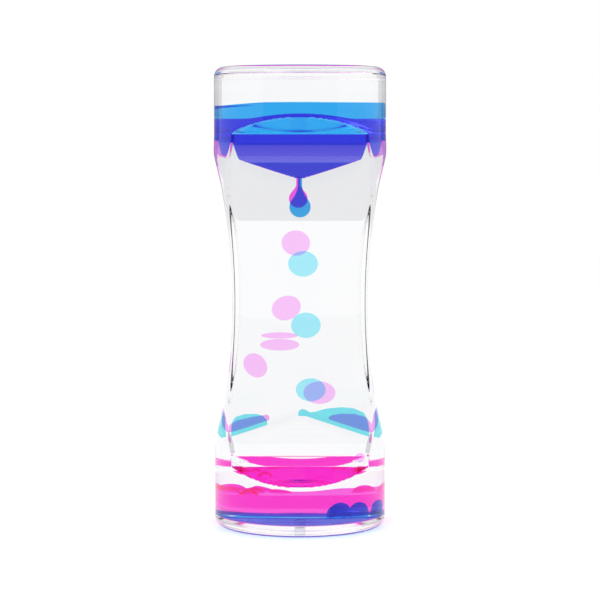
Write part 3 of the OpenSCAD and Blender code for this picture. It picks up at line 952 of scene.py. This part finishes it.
class BuildRoofPuddles(bpy.types.Operator):
    """Build the puddles that lie on the lower roof"""

    bl_idname = "timer.build_roof_puddles"
    bl_label = "Roof puddles"

    def execute(self, context):
        mid = context.scene.timer_block.height / 2
        for node, points in PUDDLE_TOPS.items():
            lo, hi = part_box(node)
            colour = node.split("_")[0]
            mesh = lofted("puddle", puddle_rings(points, (lo.y + hi.y) / 2, mid))
            obj = joined(node.replace("_roof_puddle", "_puddle"), [(mesh, 0)], [material(f"{colour}_puddle")])
            obj.data.shade_smooth()
            settle(obj, ROOT, f"{colour}_liquid", node)
        return {"FINISHED"}


# Stage


def card(name, corners, colour, strength):
    """A plain light-giving card round the object that the camera doesn't see."""
    mesh = bpy.data.meshes.new(name)
    mesh.from_pydata(corners, [], [(0, 1, 2, 3)])
    m, n, link = new_material(name, colour)
    out = n.new("ShaderNodeOutputMaterial")
    glow = n.new("ShaderNodeEmission")
    glow.inputs["Color"].default_value = (*colour, 1)
    glow.inputs["Strength"].default_value = strength
    link(glow.outputs[0], out.inputs["Surface"])
    mesh.materials.append(m)
    obj = bpy.data.objects.new(name, mesh)
    bpy.context.scene.collection.objects.link(obj)
    obj.visible_camera = False
    obj.visible_shadow = False
    obj.visible_diffuse = False
    return obj


def pale_floor():
    """A matt white floor that a little glow keeps as white as the background outside the shadow."""
    m, n, link = new_material("pale_floor", (1, 1, 1))
    out = n.new("ShaderNodeOutputMaterial")
    matt = n.new("ShaderNodeBsdfDiffuse")
    co = n.new("ShaderNodeTexCoord")
    grain = n.new("ShaderNodeTexNoise")
    grain.inputs["Scale"].default_value = 40.0
    shade = n.new("ShaderNodeValToRGB")
    shade.color_ramp.elements[0].color = (0.89, 0.89, 0.89, 1)
    shade.color_ramp.elements[1].color = (0.91, 0.91, 0.91, 1)
    glow = n.new("ShaderNodeEmission")
    glow.inputs["Strength"].default_value = 0.43
    both = n.new("ShaderNodeAddShader")
    link(co.outputs["Object"], grain.inputs["Vector"])
    link(grain.outputs["Fac"], shade.inputs[0])
    link(shade.outputs[0], matt.inputs["Color"])
    path = n.new("ShaderNodeLightPath")
    white = n.new("ShaderNodeEmission")
    seen = n.new("ShaderNodeMixShader")
    link(matt.outputs[0], both.inputs[0])
    link(glow.outputs[0], both.inputs[1])
    link(path.outputs["Is Transmission Ray"], seen.inputs[0])
    link(both.outputs[0], seen.inputs[1])
    link(white.outputs[0], seen.inputs[2])
    link(seen.outputs[0], out.inputs["Surface"])
    return m


def background(nodes, colour, strength=1.0):
    """A Background node of one grey."""
    node = nodes.new("ShaderNodeBackground")
    node.inputs["Color"].default_value = (*colour, 1)
    node.inputs["Strength"].default_value = strength
    return node


def studio_world():
    """White to the camera, straight and through the block, and grey to all other light."""
    world = bpy.data.worlds.new("studio")
    world.use_nodes = True
    n, link = world.node_tree.nodes, world.node_tree.links.new
    n.clear()
    out = n.new("ShaderNodeOutputWorld")
    path = n.new("ShaderNodeLightPath")
    white = background(n, (1, 1, 1))
    plain = background(n, (0.8, 0.8, 0.81), 0.8)
    dim = background(n, (0.25, 0.25, 0.26))
    around = n.new("ShaderNodeMixShader")
    link(path.outputs["Is Glossy Ray"], around.inputs[0])
    link(plain.outputs[0], around.inputs[1])
    link(dim.outputs[0], around.inputs[2])
    inside = math_node(n, "GREATER_THAN", 0.5)
    seen = math_node(n, "MAXIMUM")
    direct = math_node(n, "SUBTRACT")
    direct.use_clamp = True
    link(path.outputs["Transmission Depth"], inside.inputs[0])
    link(path.outputs["Is Camera Ray"], seen.inputs[0])
    link(inside.outputs[0], seen.inputs[1])
    link(seen.outputs[0], direct.inputs[0])
    link(path.outputs["Is Diffuse Ray"], direct.inputs[1])
    mix = n.new("ShaderNodeMixShader")
    link(direct.outputs[0], mix.inputs[0])
    link(around.outputs[0], mix.inputs[1])
    link(white.outputs[0], mix.inputs[2])
    link(mix.outputs[0], out.inputs["Surface"])
    return world


SIDE_CARD_X = 0.34
SIDE_CARD_Y = (-0.3, 0.34)
SIDE_CARD_TOP = 0.5
SIDE_GREY = (0.72, 0.71, 0.72)
BAND_HALF_W = 0.2
BAND_GREY = (0.83, 0.83, 0.835)
FLOOR_Z = -0.0002
FLOOR_X, FLOOR_FRONT, FLOOR_BACK = 1.5, -1.0, 1.6


def grey_cards(st):
    """Grey cards at both sides for the block's edges, and the grey band behind its upper waist."""
    near, far = SIDE_CARD_Y
    for side, letter in ((-1, "l"), (1, "r")):
        x = SIDE_CARD_X * side
        corners = [(x, near, 0.0), (x, far, 0.0), (x, far, SIDE_CARD_TOP), (x, near, SIDE_CARD_TOP)]
        card(f"side_card_{letter}", corners, SIDE_GREY, 1.0)
    low, high = st.band_low, st.band_high
    ends = [(-BAND_HALF_W, low), (BAND_HALF_W, low), (BAND_HALF_W, high), (-BAND_HALF_W, high)]
    band = card("band_card", [(x, st.band_y, z) for x, z in ends], BAND_GREY, 1.0)
    band.visible_glossy = False


def lay_floor(scene):
    """The floor, a hair below the base."""
    floor = bpy.data.meshes.new("floor")
    ends = [(-FLOOR_X, FLOOR_FRONT), (FLOOR_X, FLOOR_FRONT), (FLOOR_X, FLOOR_BACK), (-FLOOR_X, FLOOR_BACK)]
    floor.from_pydata([(x, y, FLOOR_Z) for x, y in ends], [], [(0, 1, 2, 3)])
    floor.materials.append(pale_floor())
    ground = bpy.data.objects.new("floor", floor)
    scene.collection.objects.link(ground)


def aimed(scene, name, data, place, target):
    """A lamp or camera at a place, turned to look at a target."""
    obj = bpy.data.objects.new(name, data)
    obj.location = place
    obj.rotation_mode = "QUATERNION"
    obj.rotation_quaternion = (Vector(target) - obj.location).to_track_quat("-Z", "Y")
    scene.collection.objects.link(obj)
    return obj


class BuildStage(bpy.types.Operator):
    """Set up the pale studio: white surroundings, grey cards for the edges, a soft lamp and the camera"""

    bl_idname = "timer.build_stage"
    bl_label = "Stage"

    def execute(self, context):
        scene, st = context.scene, context.scene.timer_stage
        scene.world = studio_world()
        grey_cards(st)
        lay_floor(scene)

        lamp = bpy.data.lights.new("soft_key", "AREA")
        lamp.energy = 2.0
        lamp.size = 0.5
        aimed(scene, "soft_key", lamp, (-0.5, -0.6, 0.7), (0, 0, scene.timer_block.height / 2))

        cam = bpy.data.cameras.new("camera")
        cam.lens = st.lens
        cam.sensor_width = 36
        cam.clip_start = 0.01
        place = (0, -(scene.timer_block.end_d / 2 + st.distance), st.eye)
        scene.camera = aimed(scene, "camera", cam, place, (0, 0, st.aim))

        scene.view_settings.view_transform = "Standard"
        scene.cycles.max_bounces = 48
        scene.cycles.transmission_bounces = 48
        scene.cycles.transparent_max_bounces = 96
        return {"FINISHED"}


class TimerPanel(bpy.types.Panel):
    """Sizes and buttons of the liquid motion timer"""

    bl_idname = "VIEW3D_PT_timer"
    bl_label = "Liquid Motion Timer"
    bl_space_type = "VIEW_3D"
    bl_region_type = "UI"
    bl_category = "Timer"

    def draw(self, context):
        scene = context.scene
        groups = {"Block": scene.timer_block, "Liquids": scene.timer_liquid, "Stage": scene.timer_stage}
        for title, group in groups.items():
            box = self.layout.box()
            box.label(text=title)
            for name in group.__class__.__annotations__:
                box.prop(group, name)
        for operator in BUILDERS:
            self.layout.operator(operator.bl_idname)


BUILDERS = (
    BuildStage,
    BuildBlock,
    BuildFittings,
    BuildUpperPools,
    BuildFallingDrops,
    BuildRoofPuddles,
    BuildLowerPools,
)
SETTINGS = (TimerBlockSettings, TimerLiquidSettings, TimerStageSettings)


def register():
    for cls in (*SETTINGS, *BUILDERS, TimerPanel):
        bpy.utils.register_class(cls)
    bpy.types.Scene.timer_block = PointerProperty(type=TimerBlockSettings)
    bpy.types.Scene.timer_liquid = PointerProperty(type=TimerLiquidSettings)
    bpy.types.Scene.timer_stage = PointerProperty(type=TimerStageSettings)


def unregister():
    for name in ("timer_stage", "timer_liquid", "timer_block"):
        delattr(bpy.types.Scene, name)
    for cls in reversed((*SETTINGS, *BUILDERS, TimerPanel)):
        bpy.utils.unregister_class(cls)


def main():
    register()
    bpy.ops.timer.build_stage()
    bpy.ops.timer.build_block()
    bpy.ops.timer.build_fittings()
    bpy.ops.timer.build_upper_pools()
    bpy.ops.timer.build_falling_drops()
    bpy.ops.timer.build_roof_puddles()
    bpy.ops.timer.build_lower_pools()


if __name__ == "__main__":
    main()
